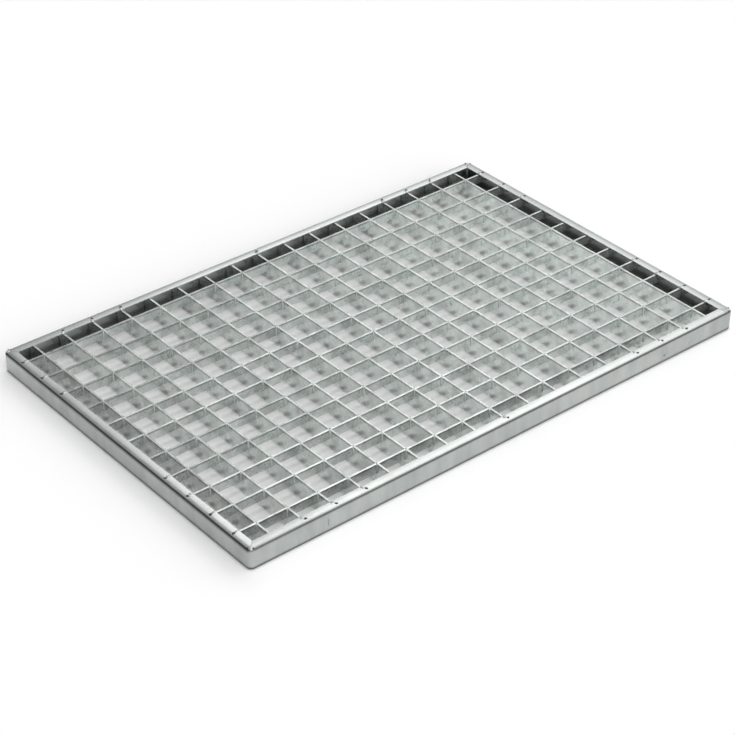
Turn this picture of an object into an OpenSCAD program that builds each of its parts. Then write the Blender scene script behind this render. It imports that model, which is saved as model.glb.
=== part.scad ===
// Pressed-lock steel grating panel in a bent channel edge frame.
// Bearing bars run the short way and carry the load. Cross bars run the long way, pressed in flush with
// their tops. The frame is one strip of sheet, folded to a channel that opens inward and bent round the four
// corners, with its flanges mitred there. The bars' ends sit between the two flanges.
// Millimetres. Origin: centre of the underside. +X along the long side, +Y along the short side, +Z up.

/* [Panel] */
// Overall length, measured over the edge frame
panel_length = 590; // [290:1:1190]
// Overall width, measured over the edge frame
panel_width = 390; // [190:1:990]

/* [Mesh] */
// Distance from bar to bar, centre to centre, both ways
mesh_pitch = 33.33; // [20:0.01:50]
// Least clear space between the outermost bars and the flanges of the edge frame
least_edge_cell = 5; // [2:1:12]

/* [Bearing bars] */
// Depth of a bearing bar
bearing_bar_depth = 20; // [15:1:50]
// Thickness of a bearing bar
bearing_bar_thickness = 2; // [1.5:0.1:5]

/* [Cross bars] */
// Depth of a cross bar
cross_bar_depth = 10; // [5:0.5:14]
// Thickness of a cross bar
cross_bar_thickness = 2; // [1:0.1:4]

/* [Edge frame] */
// Thickness of the sheet that the frame is folded from
sheet_thickness = 1; // [0.8:0.05:1.2]
// Width of the upper and lower flanges, measured from the outer face
flange_width = 10; // [8:0.5:18]
// Outside radius of the folds between the upright web and the flanges
fold_radius = 2; // [1.5:0.1:2.5]
// Outside radius of the four upright corners
corner_radius = 5; // [4:0.5:7]
// Width of the mitre cuts in the flanges
mitre_gap = 0.4; // [0.2:0.1:1.5]
// Uncut metal between the end of a mitre cut and the fold
mitre_land = 0.5; // [0.3:0.1:1.2]

/* [Fit] */
// Gap between the ends of the bars and the folds inside the frame
bar_end_gap = 0.5; // [0.2:0.1:3]

/* [Hidden] */
$fn = 48;

frame_height = bearing_bar_depth + 2 * sheet_thickness;
inner_fold_radius = fold_radius - sheet_thickness;
bar_seat = sheet_thickness;
bar_top = bar_seat + bearing_bar_depth;
bar_inset = sheet_thickness + inner_fold_radius + bar_end_gap;
cut_past = 1;

// How many bars fit across a span, and the place of each one, centred on the panel
function bar_count(span, thickness) =
    floor((span - 2 * (flange_width + least_edge_cell) - thickness) / mesh_pitch) + 1;
function bar_places(span, thickness) =
    let (count = bar_count(span, thickness))
    [for (i = [0 : count - 1]) (i - (count - 1) / 2) * mesh_pitch];

bearing_bar_places = bar_places(panel_length, bearing_bar_thickness);
cross_bar_places = bar_places(panel_width, cross_bar_thickness);

// An upright rectangle with its lower left corner at the origin and its two left corners rounded
module block_section(width, height, radius) {
    translate([radius, 0]) square([width - radius, height]);
    translate([0, radius]) square([width, height - 2 * radius]);
    for (y = [radius, height - radius]) translate([radius, y]) circle(radius);
}

// The folded sheet seen end on: x = 0 is its outer face, and it opens towards +X
module channel_section() {
    difference() {
        block_section(flange_width, frame_height, fold_radius);
        translate([sheet_thickness, sheet_thickness])
            block_section(flange_width, bearing_bar_depth, inner_fold_radius);
    }
}

// A straight side of the frame along Y, with its outer face on x = 0
module frame_side(length) {
    rotate([90, 0, 0]) linear_extrude(length, center = true) channel_section();
}

// A quarter turn of the same channel round the upright axis at the origin, between +X and +Y
module frame_corner() {
    rotate_extrude(angle = 90) intersection() {
        translate([corner_radius, 0]) mirror([1, 0]) channel_section();
        square([corner_radius, frame_height]);
    }
}

// The cut between two flanges that meet at a corner, along the diagonal through the corner's axis
module mitre_cut() {
    inner_end = sqrt(2) * (flange_width - corner_radius) + cut_past;
    outer_end = corner_radius - fold_radius - mitre_land;
    rotate(45) translate([-inner_end, -mitre_gap / 2, -cut_past])
        cube([inner_end + outer_end, mitre_gap, frame_height + 2 * cut_past]);
}

// Places its children at the four corners' axes, each turned to face outwards
module at_corners() {
    for (flip_x = [0, 1], flip_y = [0, 1])
        mirror([flip_x, 0, 0]) mirror([0, flip_y, 0])
            translate([panel_length / 2 - corner_radius, panel_width / 2 - corner_radius, 0]) children();
}

module edge_frame() {
    color("silver") difference() {
        union() {
            for (turn = [0, 180]) rotate(turn) {
                translate([-panel_length / 2, 0, 0]) frame_side(panel_width - 2 * corner_radius);
                rotate(90) translate([-panel_width / 2, 0, 0]) frame_side(panel_length - 2 * corner_radius);
            }
            at_corners() frame_corner();
        }
        at_corners() mitre_cut();
    }
}

// One flat bar along Y, on edge, centred on its place
module bearing_bar() {
    length = panel_width - 2 * bar_inset;
    translate([-bearing_bar_thickness / 2, -length / 2, bar_seat])
        cube([bearing_bar_thickness, length, bearing_bar_depth]);
}

// One shallower flat bar along X, its top level with the bearing bars
module cross_bar() {
    length = panel_length - 2 * bar_inset;
    translate([-length / 2, -cross_bar_thickness / 2, bar_top - cross_bar_depth])
        cube([length, cross_bar_thickness, cross_bar_depth]);
}

module bar_grid() {
    color("gainsboro") union() {
        for (x = bearing_bar_places) translate([x, 0, 0]) bearing_bar();
        for (y = cross_bar_places) translate([0, y, 0]) cross_bar();
    }
}

edge_frame();
bar_grid();
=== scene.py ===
"""Steel grating panel: zinc finishes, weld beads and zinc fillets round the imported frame. Metres, +Z up."""
import math

import bpy
import numpy as np
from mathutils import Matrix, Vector


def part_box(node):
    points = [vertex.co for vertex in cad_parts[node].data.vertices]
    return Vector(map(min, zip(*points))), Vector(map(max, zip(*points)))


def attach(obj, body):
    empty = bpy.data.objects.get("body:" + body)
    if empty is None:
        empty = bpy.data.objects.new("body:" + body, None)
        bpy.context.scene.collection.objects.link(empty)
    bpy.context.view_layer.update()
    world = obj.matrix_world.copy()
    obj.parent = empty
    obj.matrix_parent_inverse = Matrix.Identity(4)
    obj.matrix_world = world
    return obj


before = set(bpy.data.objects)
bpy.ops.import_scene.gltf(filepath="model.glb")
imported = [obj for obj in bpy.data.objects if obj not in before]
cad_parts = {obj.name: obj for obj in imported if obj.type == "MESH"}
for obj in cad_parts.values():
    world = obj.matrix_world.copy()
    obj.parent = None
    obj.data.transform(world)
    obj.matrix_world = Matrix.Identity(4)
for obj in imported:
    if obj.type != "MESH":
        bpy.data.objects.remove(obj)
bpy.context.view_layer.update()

MM = 0.001
SEED = 11

# Bars, as in the part's source
PITCH = 33.33 * MM              # bar to bar
BEARING_BARS = 17               # along Y, counted from -X
CROSS_BARS = 11                 # along X, counted from -Y
CROSSINGS = BEARING_BARS * CROSS_BARS
BAR_THICKNESS = 2 * MM
CROSS_BAR_DEPTH = 10 * MM

# Edge frame, as in the part's source
SHEET = 1 * MM
FLANGE_WIDTH = 10 * MM
FOLD_RADIUS = 2 * MM
CORNER_RADIUS = 5 * MM

BARS_LOW, BARS_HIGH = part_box("bar_grid")
FRAME_LOW, FRAME_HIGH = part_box("edge_frame")
TREAD = BARS_HIGH.z             # top of the bars
TOP = FRAME_HIGH.z              # top of the upper flange
BEARING_X = (np.arange(BEARING_BARS) - (BEARING_BARS - 1) / 2) * PITCH
CROSS_Y = (np.arange(CROSS_BARS) - (CROSS_BARS - 1) / 2) * PITCH

# Each finish: tone, strength of its mottle, roughness, height of its grain
FRAME_ZINC = (0.47, 0.494, 0.481), 0.045, 0.24, 0.003 * MM
BAR_ZINC = (0.71, 0.746, 0.728), 0.065, 0.26, 0.006 * MM
WELD_ZINC = (0.58, 0.60, 0.58), 0.12, 0.36, 0.06 * MM
WELD_PIT = (0.07, 0.075, 0.07), 0.2, 0.55, 0.03 * MM
FILLET_ZINC = (0.70, 0.73, 0.71), 0.08, 0.50, 0.02 * MM
METALLIC = 0.78                 # of all finishes but the fillets'
FILLET_METALLIC = 0.35
WHITE = (1.0, 1.0, 1.0, 1.0)

# Patterns in the zinc: how many of their cells go to a metre
WARP_SCALE = 220.0
CRYSTAL_SCALE = 150.0
CLOUD_SCALE = 45.0
GRAIN_SCALE = 900.0
STREAK_SCALE = 75.0
BROAD_SCALE = 14.0              # broad cloudiness of the frame
PATCH_SCALE = 55.0              # dull patches on the bars
WARP = 4 * MM                   # how far the crystals are pushed out of shape at most
STREAK_STRETCH = (1.0, 1.0, 0.15)       # makes the streaks upright
# Slow rise and fall of the surface: cells to a metre, height
FRAME_SWAY = 28.0, 0.12 * MM
BAR_SWAY = 40.0, 0.7 * MM

# Painted shade: how much darker the frame is drawn on each of its parts
WALL_SHADE = 0.11               # outer walls
FOLD_SHADE = 0.66               # upper fold
FOOT_SHADE = 0.86               # lower fold
INSIDE_SHADE = 0.45             # inside of the channel, by the floor
INSIDE_EASED = 0.6              # how much of that is gone higher up
RIGHT_SHADE = 0.22              # right flange
CREASE_SHADE = 0.55             # band at the top of the left wall
CREASE_WIDTH = 4.6 * MM
# The zinc's own upright streaks and broad cloudiness, not shade
STREAKS = 0.50
BROAD_CLOUDS = 0.35
# The flange is highest along its middle. It drops towards the fold, and towards its free edge, where half of
# the lip's drop is reached.
LIP_WIDTH = 4.5 * MM
LIP_DROP = 0.26 * MM
CROWN_WIDTH = 4.8 * MM
CROWN_DROP = 0.24 * MM
# A speck and a short scratch on the long front wall: place along X, height, half width, half height, depth
WALL_MARKS = (
    (200 * MM, 8.5 * MM, 1.2 * MM, 1.4 * MM, 0.70),
    (-211 * MM, 11 * MM, 0.9 * MM, 5.0 * MM, 0.42),
)

# How much darker the bars are drawn on each of their parts: painted shade, but for the patches, which are the
# zinc's own
UNDER_EDGE_SHADE = 0.46         # painted shade, in a line just under the top edge
PATCH_SHADE = 0.24
CROSSING_PAINTED_SHADOW = 0.46           # painted shadow on the bearing bars below each cross bar
BAR_TOP_SHADE = 0.33
RIGHT_TOP_SHADE = 0.16          # tops at the right end
BAR_END_SHADE = 0.35            # sides past the last bars, at the far and right sides
# And how much paler, as painted light
LOWER_EDGE_HIGHLIGHT = 0.20             # painted highlight along the lower edge
NEAR_END_PAINTED_LIGHT = 0.14            # sides before the first cross bar
FAR_LEFT_HIGHLIGHT = 0.32            # painted highlight on the tops of the bearing bars, at the far left
FAR_FROM = -100 * MM            # where that starts along Y
# Painted light: the bars' brightness at the left end, and what it gains by the right end
LEFT_END_LIGHTING = 0.92
RIGHTWARD_LIGHTING_GAIN = 0.24
# The tops of these cross bars get a painted highlight towards the left end and a little painted shade towards
# the right end, as if they leaned
SHEEN_CROSS_BARS = (0, 1, 2, 5, 6)
LEFT_END_SHEEN = 0.5
RIGHT_END_PAINTED_SHADE = 0.08
# How far from a bar's middle a point still counts as on the bar, and how far as off it
ON_BAR = 0.55 * BAR_THICKNESS
OFF_BAR = 0.7 * BAR_THICKNESS
# Painted shadow below a crossing: the height of its middle, how far it leans towards -Y as it rises, where
# its middle line starts along Y, and its half sizes along Y and Z
CROSSING_HEIGHT = 2.5 * MM
CROSSING_LEAN = 1.14
CROSSING_START = 0.65 * MM
CROSSING_HALF_Y = 6.0 * MM
CROSSING_HALF_Z = 8.5 * MM

# Zinc in the corners between crossed bars, and the lump on each crossing. What is drawn at random is in mm.
FILLET_RADIUS = (0.6, 1.2)
FILLET_SWELL = 0.25             # part of the radius
FILLET_SUNK = 0.3 * MM          # into the bars
FILLET_BELOW_TREAD = 0.2 * MM
KNOT_OFF_MIDDLE = 0.4
KNOT_HALF_SIZES = ((1.1, 1.7), (1.1, 1.8), (0.3, 0.45))
KNOT_SUNK = 0.15 * MM
LUMP_END = 0.47                 # latitude at which a flat face closes a lump, in half turns

# Weld beads where bars meet the flange's inner edge, by bar number from -X and from -Y
LONG_SIDE_WELDS = (1, 2, 3, 8, 13, 14, 15)
SHORT_SIDE_WELDS = (0, 1, 2, 3, 8, 9, 10)
BEAD_INSET = FLANGE_WIDTH - 2.0 * MM
BEAD_SUNK = 0.35 * MM
BEAD_ACROSS = 1.9 * MM          # half sizes
BEAD_ALONG = 2.5 * MM
BEAD_HIGH = 0.85 * MM
# Craters by the beads: inset, how far off the bar's middle, half sizes
LONG_SIDE_PIT = 5.4 * MM, 1.8 * MM, (1.5 * MM, 1.5 * MM, 0.32 * MM)
SHORT_SIDE_PIT = 4.2 * MM, -0.4 * MM, (1.6 * MM, 1.5 * MM, 0.34 * MM)
# Each mitre is welded near its outer end, with a crater on both sides of the bead
MITRE_BEAD_INSET = 3.4 * MM
MITRE_BEAD_SUNK = 0.4 * MM
MITRE_BEAD = (2.2 * MM, 2.2 * MM, 0.8 * MM)
MITRE_PIT_INSET = 3.2 * MM
MITRE_PIT_ASIDE = 1.9 * MM
MITRE_PIT_RAISED = 0.05 * MM
MITRE_PIT = (0.9 * MM, 0.9 * MM, 0.18 * MM)

# Light from the room, and the soft lights: azimuth and elevation, how far from its middle each starts and is
# full, all in degrees, and its strength
ROOM_LIGHT = 0.245
LIGHTS = (
    (0, 90, 9, 4, 13.0),        # small, straight above
    (47, 29, 22, 8, 0.80),      # far right
    (43, 39, 10, 4, 2.0),       # far right, smaller and a little higher
    (95, 36, 45, 12, 1.10),     # right, wide
    (188, 30, 42, 12, 2.6),     # near side, wide
)
FLOOR_HALF = 20.0
CAMERA_AIM = Vector((-44.49 * MM, -44.95 * MM, TREAD))
CAMERA_AZIMUTH = 39.42          # the way it looks, in degrees
CAMERA_ELEVATION = -34.08
CAMERA_DISTANCE = 2014.7 * MM
SENSOR_WIDTH = 36.0             # in mm, as the lens
LENS = 105.05
CLIP_END = 100


# ---------------------------------------------------------------- shader maths as expressions

class Value:
    """A shader socket. Arithmetic on it adds Math nodes to its material."""

    def __init__(self, finish, socket):
        self.finish, self.socket = finish, socket

    def __add__(self, other):
        return self.finish.work_out("ADD", self, other)

    def __sub__(self, other):
        return self.finish.work_out("SUBTRACT", self, other)

    def __rsub__(self, other):
        return self.finish.work_out("SUBTRACT", other, self)

    def __mul__(self, other):
        return self.finish.work_out("MULTIPLY", self, other)

    __radd__, __rmul__ = __add__, __mul__


class Finish:
    """A material, or the world, that is built from nodes."""

    def __init__(self, tree):
        self.tree = tree
        tree.nodes.clear()

    def node(self, kind, settings=None, *values, out=0, **named):
        """Adds a node, sets its settings, then its sockets by order or by name, and returns one output."""
        made = self.tree.nodes.new(kind)
        for key, value in (settings or {}).items():
            setattr(made, key, value)
        for place, value in [*enumerate(values), *named.items()]:
            socket = made.inputs[place if isinstance(place, int) else place.replace("_", " ")]
            if isinstance(value, Value):
                self.tree.links.new(value.socket, socket)
            else:
                socket.default_value = value
        return Value(self, made.outputs[out]) if made.outputs else None

    def work_out(self, operation, *values):
        return self.node("ShaderNodeMath", {"operation": operation}, *values)

    def least(self, one, other):
        return self.work_out("MINIMUM", one, other)

    def most(self, one, other):
        return self.work_out("MAXIMUM", one, other)

    def size(self, value):
        return self.work_out("ABSOLUTE", value)

    def length(self, across, along):
        """Square root of the sum of both squares."""
        return self.work_out("SQRT", across * across + along * along)

    def off_bar(self, value):
        """Distance to the nearest whole number of pitches."""
        return self.work_out("PINGPONG", value, PITCH / 2)

    def rise(self, value, low, high):
        """0 below low, 1 above high, smooth between."""
        return self.node("ShaderNodeMapRange", {"interpolation_type": "SMOOTHSTEP"},
                         value, low, high, 0.0, 1.0)

    def fall(self, value, low, high):
        """1 below low, 0 above high, smooth between."""
        return 1.0 - self.rise(value, low, high)

    def noise(self, point, scale, detail=2.0, roughness=0.5):
        return self.node("ShaderNodeTexNoise", {"noise_dimensions": "3D"}, Vector=point, Scale=scale,
                         Detail=detail, Roughness=roughness)

    def point(self):
        """Object coordinates."""
        return self.node("ShaderNodeTexCoord", out=3)

    def axes(self, point):
        parts = self.node("ShaderNodeSeparateXYZ", None, point)
        return [Value(self, out) for out in parts.socket.node.outputs]


def material(name):
    """A new material, and the finish that its nodes are built with."""
    made = bpy.data.materials.new(name)
    made.use_nodes = True
    return made, Finish(made.node_tree)


# ---------------------------------------------------------------- finishes

def tinted(f, tone, shade):
    """The tone as a colour, multiplied by a grey that varies."""
    grey = f.node("ShaderNodeCombineColor", None, shade, shade, shade)
    colour = f.node("ShaderNodeMix", {"data_type": "RGBA", "blend_type": "MULTIPLY"}, 1.0, out=2)
    # A Mix node's two colours are its sockets 6 and 7
    mix = colour.socket.node
    mix.inputs[6].default_value = (*tone, 1.0)
    f.tree.links.new(grey.socket, mix.inputs[7])
    return colour


def zinc(f, point, mottle):
    """Satin zinc, from faint crystals, cloudiness and a fine grain: its shade, its change of roughness, and
    the grain, which goes from -0.5 to 0.5."""
    push = f.node("ShaderNodeTexNoise", None, Vector=point, Scale=WARP_SCALE, out=1)
    push = f.node("ShaderNodeVectorMath", {"operation": "SCALE"}, push, Scale=WARP)
    warped = f.node("ShaderNodeVectorMath", {"operation": "ADD"}, point, push)
    crystal = f.node("ShaderNodeTexVoronoi", {"feature": "F1"}, Vector=warped, Scale=CRYSTAL_SCALE, out=1)
    crystal = f.node("ShaderNodeSeparateColor", None, crystal) - 0.5
    cloud = f.noise(point, CLOUD_SCALE, 4.0, 0.6) - 0.5
    grain = f.noise(point, GRAIN_SCALE) - 0.5
    shade = 1.0 + crystal * mottle + cloud * (4.0 * mottle) + grain * (0.5 * mottle)
    return shade, crystal * mottle + grain * mottle, grain


def sway(f, point, scale, height):
    """Slow rise and fall, half the height up and down."""
    return (f.noise(point, scale) - 0.5) * height


def metal(f, colour, roughness, height, metallic=METALLIC):
    """Principled metal whose bump height is in metres."""
    bump = f.node("ShaderNodeBump", None, Strength=1.0, Distance=1.0, Height=height)
    shader = f.node("ShaderNodeBsdfPrincipled", None, Metallic=metallic, Base_Color=colour,
                    Roughness=roughness, Normal=bump)
    f.node("ShaderNodeOutputMaterial", None, shader)


def rounded_inset(f, inset_x, inset_y):
    """How far a point lies inside the frame's rounded outline."""
    reach = f.length(f.most(CORNER_RADIUS - inset_x, 0.0), f.most(CORNER_RADIUS - inset_y, 0.0))
    return CORNER_RADIUS - reach + f.most(f.least(inset_x, inset_y) - CORNER_RADIUS, 0.0)


def frame_finish():
    """Folded sheet: satin zinc with streaked walls and two marks, and a flange that falls away from its
    middle.
    Painted shade darkens the walls, the folds, a band at the top of the left wall, the right flange and the
    channel."""
    tone, mottle, roughness, grain_height = FRAME_ZINC
    made, f = material("frame zinc")
    point = f.point()
    x, y, z = f.axes(point)
    shade, rough, grain = zinc(f, point, mottle)
    inset = rounded_inset(f, FRAME_HIGH.x - f.size(x), FRAME_HIGH.y - f.size(y))
    wall = f.fall(inset, 0.85 * SHEET, SHEET)
    outside = f.fall(inset, 0.25 * FOLD_RADIUS, 0.8 * FOLD_RADIUS)
    fold = outside * f.rise(z, TOP - 1.6 * FOLD_RADIUS, TOP - 0.4 * FOLD_RADIUS)
    foot = wall * f.fall(z, 0.6 * FOLD_RADIUS, 2.3 * FOLD_RADIUS)
    left_wall = f.fall(x, FRAME_LOW.x + 0.8 * SHEET, FRAME_LOW.x + SHEET)
    crease = left_wall * outside * f.rise(z, TOP - CREASE_WIDTH, TOP - 0.5 * CREASE_WIDTH)
    right = f.rise(x, FRAME_HIGH.x - 1.05 * FLANGE_WIDTH, FRAME_HIGH.x - 0.95 * FLANGE_WIDTH)
    inside = f.rise(inset, 0.8 * SHEET, SHEET) * f.rise(z, 0.85 * SHEET, 0.99 * SHEET)
    inside = inside * f.fall(z, TOP - 1.15 * SHEET, TOP - 1.02 * SHEET)
    inside = inside * (1.0 - f.rise(z, 7 * MM, 15 * MM) * INSIDE_EASED)

    # Painted shade on the walls, the band at the top of the left wall, the right flange, the folds, the foot
    # and inside the channel
    shade = shade * (1.0 - wall * WALL_SHADE) * (1.0 - crease * CREASE_SHADE)
    shade = shade * (1.0 - right * (1.0 - wall) * RIGHT_SHADE)
    shade = shade * (1.0 - fold * FOLD_SHADE) * (1.0 - foot * FOOT_SHADE) * (1.0 - inside * INSIDE_SHADE)
    front_wall = f.fall(y, FRAME_LOW.y + 0.5 * SHEET, FRAME_LOW.y + SHEET)
    for at_x, at_z, half_x, half_z, depth in WALL_MARKS:
        off = f.most(f.size(x - at_x) * (1.0 / half_x), f.size(z - at_z) * (1.0 / half_z))
        shade = shade * (1.0 - f.fall(off, 0.5, 1.0) * front_wall * depth)
    upright = f.node("ShaderNodeVectorMath", {"operation": "MULTIPLY"}, point, STREAK_STRETCH)
    streak = f.noise(upright, STREAK_SCALE, 3.0, 0.6) - 0.5
    broad = f.noise(point, BROAD_SCALE) - 0.5
    shade = shade * (1.0 + streak * wall * STREAKS + broad * BROAD_CLOUDS)

    lip = f.rise(inset, FLANGE_WIDTH - LIP_WIDTH, FLANGE_WIDTH + LIP_WIDTH)
    crown = f.fall(inset, 0.0, CROWN_WIDTH)
    height = sway(f, point, *FRAME_SWAY) + grain * grain_height - lip * LIP_DROP - crown * CROWN_DROP
    metal(f, tinted(f, tone, shade), roughness + rough, height)
    return made


def bar_finish():
    """Flat bars: satin zinc with dull patches, and painted light and shade: a line just under each top edge,
    a highlight on the lower edge, shaded tops, a shadow below every crossing, darker ends at the far and
    right sides and paler ones at the near side, bars brighter from left to right, and tops that shine towards
    the left."""
    tone, mottle, roughness, grain_height = BAR_ZINC
    made, f = material("bar zinc")
    point = f.point()
    x, y, z = f.axes(point)
    shade, rough, grain = zinc(f, point, mottle)
    top = f.rise(z, TREAD - 0.3 * MM, TREAD - 0.05 * MM)
    # Painted shade just under the top edge
    under = f.rise(z, TREAD - 2.6 * MM, TREAD - 1.0 * MM) * f.fall(z, TREAD - 0.5 * MM, TREAD - 0.1 * MM)
    # Painted highlight along the lower edge
    lower_edge = f.fall(z, BARS_LOW.z + 0.6 * MM, BARS_LOW.z + 1.6 * MM)
    patch = f.rise(f.noise(point, PATCH_SCALE, 3.0, 0.6), 0.42, 0.66)
    # Painted shadow below each crossing, with the painted reflection of that shadow in the bearing bar's side
    along = f.off_bar(y + z * CROSSING_LEAN - CROSSING_START) * (1.0 / CROSSING_HALF_Y)
    upward = (z - CROSSING_HEIGHT) * (1.0 / CROSSING_HALF_Z)
    crossing = f.fall(f.length(along, upward), 0.1, 1.0)
    last_ends = f.most(f.rise(x, BEARING_X[-1] + 0.8 * MM, BEARING_X[-1] + 5 * MM),
                       f.rise(y, CROSS_Y[-1] + 0.8 * MM, CROSS_Y[-1] + 5 * MM))
    near_ends = f.fall(y, CROSS_Y[0] - 0.95 * MM, CROSS_Y[0] - 0.9 * MM)
    shade = shade * (1.0 - under * UNDER_EDGE_SHADE) * (1.0 + lower_edge * LOWER_EDGE_HIGHLIGHT)
    shade = shade * (1.0 - patch * PATCH_SHADE)

    # Painted light: the bars brighter from left to right, some tops shining towards the left, duller tops at
    # the right end
    rightward = f.rise(x, FRAME_LOW.x, FRAME_HIGH.x)
    leftward = 1.0 - rightward
    sheen = leftward * leftward * LEFT_END_SHEEN - rightward * RIGHT_END_PAINTED_SHADE
    # Painted highlight on these tops towards the left, painted shade towards the right
    for j in SHEEN_CROSS_BARS:
        shade = shade * (1.0 + f.fall(f.size(y - CROSS_Y[j]), ON_BAR, OFF_BAR) * top * sheen)
    bearing_top = f.rise(f.off_bar(y), ON_BAR, OFF_BAR) * top
    shade = shade * (1.0 + bearing_top * leftward * f.rise(y, FAR_FROM, FRAME_HIGH.y) * FAR_LEFT_HIGHLIGHT)
    shade = shade * (LEFT_END_LIGHTING + rightward * RIGHTWARD_LIGHTING_GAIN) * (1.0 - rightward * top * RIGHT_TOP_SHADE)

    # Painted light on the near ends, painted shadow below each crossing
    shade = shade * (1.0 + near_ends * (1.0 - top) * NEAR_END_PAINTED_LIGHT) * (1.0 - crossing * CROSSING_PAINTED_SHADOW)
    # Painted shade on the tops, and on the sides past the last bars at the far and right sides
    shade = shade * (1.0 - top * BAR_TOP_SHADE) * (1.0 - last_ends * (1.0 - top) * BAR_END_SHADE)
    height = sway(f, point, *BAR_SWAY) + grain * grain_height
    metal(f, tinted(f, tone, shade), roughness + rough, height)
    return made


def lump_finish(name, tone, mottle, roughness, grain_height, metallic=METALLIC):
    """Zinc or weld metal with its mottle and grain, and no pattern of its own."""
    made, f = material(name)
    shade, rough, grain = zinc(f, f.point(), mottle)
    metal(f, tinted(f, tone, shade), roughness + rough, grain * grain_height, metallic)
    return made


# ---------------------------------------------------------------- meshes

def mesh_piece(name, points, finish):
    """One object from copies of a grid: points is (copies, rows, columns, 3). Each grid is joined along its
    columns into a tube, and its first and last rows are closed by one face each."""
    copies, rows, cols, _ = points.shape
    index = np.arange(copies * rows * cols).reshape(copies, rows, cols)
    right = np.roll(index, -1, axis=2)
    quads = np.stack([index[:, :-1], right[:, :-1], right[:, 1:], index[:, 1:]], axis=-1).reshape(-1, 4)
    caps = np.concatenate([index[:, 0, ::-1], index[:, -1]])
    mesh = bpy.data.meshes.new(name)
    mesh.from_pydata(points.reshape(-1, 3).tolist(), [], quads.tolist() + caps.tolist())
    mesh.validate()
    mesh.update()
    mesh.materials.append(finish)
    piece = bpy.data.objects.new(name, mesh)
    bpy.context.scene.collection.objects.link(piece)
    mesh.polygons.foreach_set("use_smooth", np.ones(len(mesh.polygons), bool))
    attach(piece, "root")


def blobs(centres, half_sizes, rows=9, cols=14, ripples=0.12):
    """Closed rounded lumps: an ellipsoid in latitude and longitude, its radius rippled by a few sine waves
    whose phases are drawn for each copy."""
    centres, half_sizes = np.array(centres), np.array(half_sizes)
    rng = np.random.default_rng(SEED)
    latitude = np.linspace(-LUMP_END, LUMP_END, rows)[None, :, None] * math.pi
    longitude = np.linspace(0, 2 * math.pi, cols, endpoint=False)[None, None, :]
    phase = rng.uniform(0, 2 * math.pi, (3, len(centres), 1, 1))
    ripple = 1 + ripples * (np.sin(2 * longitude + phase[0]) * np.cos(latitude)
                            + 0.6 * np.sin(3 * longitude + phase[1]) * np.cos(latitude)
                            + 0.5 * np.sin(5 * latitude + phase[2]))
    unit = np.stack([np.cos(latitude) * np.cos(longitude), np.cos(latitude) * np.sin(longitude),
                     np.sin(latitude) + 0 * longitude], axis=-1)
    return centres[:, None, None] + unit * ripple[..., None] * half_sizes[:, None, None]


def corner_fillets(rows=5):
    """Zinc that fills the four upright corners of every crossing. A fillet's plan is a corner whose outer
    side is a hollow quarter arc of the fillet's radius, and the radius swells slowly with height."""
    rng = np.random.default_rng(SEED + 1)
    turn = np.radians(np.linspace(0, 90, 4))
    # The plan's corners in radii from the two bars' faces. -1 is a corner that is sunk into the bar.
    u = np.concatenate([[-1, -1], 1 - np.sin(turn), [-1]])
    v = np.concatenate([[-1, 1], 1 - np.cos(turn), [0]])
    corners = np.meshgrid(BEARING_X, CROSS_Y, (-1, 1), (-1, 1), indexing="ij")
    centre_x, centre_y, side_x, side_y = (part.ravel()[:, None, None] for part in corners)
    count = len(side_x)
    height = np.linspace(0, 1, rows)[None, :, None]
    radius = rng.uniform(*FILLET_RADIUS, (count, 1, 1)) * MM
    radius = radius * (1 + FILLET_SWELL * np.sin(5 * height + rng.uniform(0, 6, (count, 1, 1))))
    across = np.where(u < 0, -FILLET_SUNK, radius * u)
    along = np.where(v < 0, -FILLET_SUNK, radius * v)
    turned = side_x * side_y < 0
    across, along = (np.where(turned, part[..., ::-1], part) for part in (across, along))
    low, high = TREAD - CROSS_BAR_DEPTH, TREAD - FILLET_BELOW_TREAD
    z = np.broadcast_to(low + (high - low) * height, across.shape)
    return np.stack([centre_x + side_x * (BAR_THICKNESS / 2 + across),
                     centre_y + side_y * (BAR_THICKNESS / 2 + along), z], axis=-1)


def knots():
    """A flat low lump of zinc on each pressed crossing, a little off its middle."""
    rng = np.random.default_rng(SEED + 2)
    x, y = (part.ravel() for part in np.meshgrid(BEARING_X, CROSS_Y, indexing="ij"))
    x = x + rng.uniform(-KNOT_OFF_MIDDLE, KNOT_OFF_MIDDLE, CROSSINGS) * MM
    y = y + rng.uniform(-KNOT_OFF_MIDDLE, KNOT_OFF_MIDDLE, CROSSINGS) * MM
    places = np.stack([x, y, np.full(CROSSINGS, TREAD - KNOT_SUNK)], axis=-1)
    sizes = np.stack([rng.uniform(low, high, CROSSINGS) for low, high in KNOT_HALF_SIZES], axis=-1) * MM
    return blobs(places, sizes, rows=5, cols=8)


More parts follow.
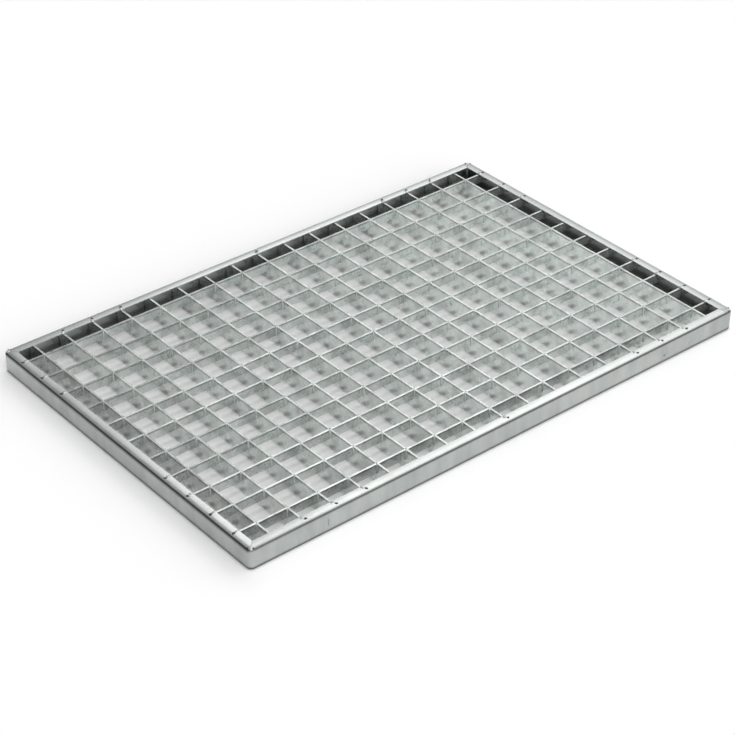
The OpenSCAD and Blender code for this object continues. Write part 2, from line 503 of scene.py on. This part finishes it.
def welds():
    """The weld beads and the craters beside them, each as a list of places and a list of half sizes."""
    beads, bead_sizes, pits, pit_sizes = [], [], [], []
    for side in (-1, 1):
        inset, aside, half_sizes = LONG_SIDE_PIT
        for x in BEARING_X[list(LONG_SIDE_WELDS)]:
            beads.append((x, side * (FRAME_HIGH.y - BEAD_INSET), TOP - BEAD_SUNK))
            bead_sizes.append((BEAD_ACROSS, BEAD_ALONG, BEAD_HIGH))
            pits.append((x + aside, side * (FRAME_HIGH.y - inset), TOP))
            pit_sizes.append(half_sizes)
        inset, aside, half_sizes = SHORT_SIDE_PIT
        for y in CROSS_Y[list(SHORT_SIDE_WELDS)]:
            beads.append((side * (FRAME_HIGH.x - BEAD_INSET), y, TOP - BEAD_SUNK))
            bead_sizes.append((BEAD_ALONG, BEAD_ACROSS, BEAD_HIGH))
            pits.append((side * (FRAME_HIGH.x - inset), y + aside, TOP))
            pit_sizes.append(half_sizes)
    for side_x in (-1, 1):
        for side_y in (-1, 1):
            corner = np.array([side_x * FRAME_HIGH.x, side_y * FRAME_HIGH.y])
            inward = np.array([-side_x, -side_y])
            sideways = np.array([side_x, -side_y])
            beads.append((*(corner + MITRE_BEAD_INSET * inward), TOP - MITRE_BEAD_SUNK))
            bead_sizes.append(MITRE_BEAD)
            for way in (-1, 1):
                place = corner + MITRE_PIT_INSET * inward + MITRE_PIT_ASIDE * way * sideways
                pits.append((*place, TOP + MITRE_PIT_RAISED))
                pit_sizes.append(MITRE_PIT)
    return (beads, bead_sizes), (pits, pit_sizes)


frame_zinc, bar_zinc = frame_finish(), bar_finish()
weld_zinc, weld_pit = lump_finish("weld zinc", *WELD_ZINC), lump_finish("weld pit", *WELD_PIT)
fillet_zinc = lump_finish("fillet zinc", *FILLET_ZINC, FILLET_METALLIC)
for node_name, finish in (("edge_frame", frame_zinc), ("bar_grid", bar_zinc)):
    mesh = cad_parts[node_name].data
    mesh.materials.clear()
    mesh.materials.append(finish)

weld_beads, weld_pits = welds()
mesh_piece("zinc_fillets", corner_fillets(), fillet_zinc)
mesh_piece("pressed_knots", knots(), weld_zinc)
mesh_piece("weld_beads", blobs(*weld_beads), weld_zinc)
mesh_piece("weld_pits", blobs(*weld_pits, rows=5, cols=10, ripples=0.2), weld_pit)


# ---------------------------------------------------------------- floor, light and camera

def floor():
    """A flat white square that goes far past the panel on all sides."""
    half = FLOOR_HALF
    mesh = bpy.data.meshes.new("floor")
    corners = [(-half, -half, 0), (half, -half, 0), (half, half, 0), (-half, half, 0)]
    mesh.from_pydata(corners, [], [(0, 1, 2, 3)])
    made, f = material("floor")
    f.node("ShaderNodeOutputMaterial", None, f.node("ShaderNodeBsdfDiffuse", None, Color=WHITE))
    mesh.materials.append(made)
    plane = bpy.data.objects.new("floor", mesh)
    bpy.context.scene.collection.objects.link(plane)


def direction(azimuth, elevation):
    """Unit vector, azimuth from +Y towards +X, elevation above the floor, in degrees."""
    a, e = math.radians(azimuth), math.radians(elevation)
    return Vector((math.sin(a) * math.cos(e), math.cos(a) * math.cos(e), math.sin(e)))


def studio():
    """A dim room with soft round lights, each of which fades out from its middle."""
    world = bpy.data.worlds.new("studio")
    bpy.context.scene.world = world
    world.use_nodes = True
    f = Finish(world.node_tree)
    way = f.node("ShaderNodeTexCoord", out=0)
    strength = ROOM_LIGHT
    for azimuth, elevation, starts, full, power in LIGHTS:
        towards = f.node("ShaderNodeVectorMath", {"operation": "DOT_PRODUCT"}, way,
                         direction(azimuth, elevation), out=1)
        glow = f.rise(towards, math.cos(math.radians(starts)), math.cos(math.radians(full)))
        strength = strength + glow * power
    f.node("ShaderNodeOutputWorld", None, f.node("ShaderNodeBackground", None, WHITE, strength))


def camera():
    """A long lens that looks down on the panel from the near left."""
    data = bpy.data.cameras.new("camera")
    data.sensor_width = SENSOR_WIDTH
    data.lens = LENS
    data.clip_end = CLIP_END
    cam = bpy.data.objects.new("camera", data)
    bpy.context.scene.collection.objects.link(cam)
    away = -direction(CAMERA_AZIMUTH, CAMERA_ELEVATION)
    cam.location = CAMERA_AIM + away * CAMERA_DISTANCE
    cam.rotation_euler = away.to_track_quat("Z", "Y").to_euler()
    bpy.context.scene.camera = cam


floor()
studio()
camera()
bpy.context.scene.view_settings.view_transform = "Standard"
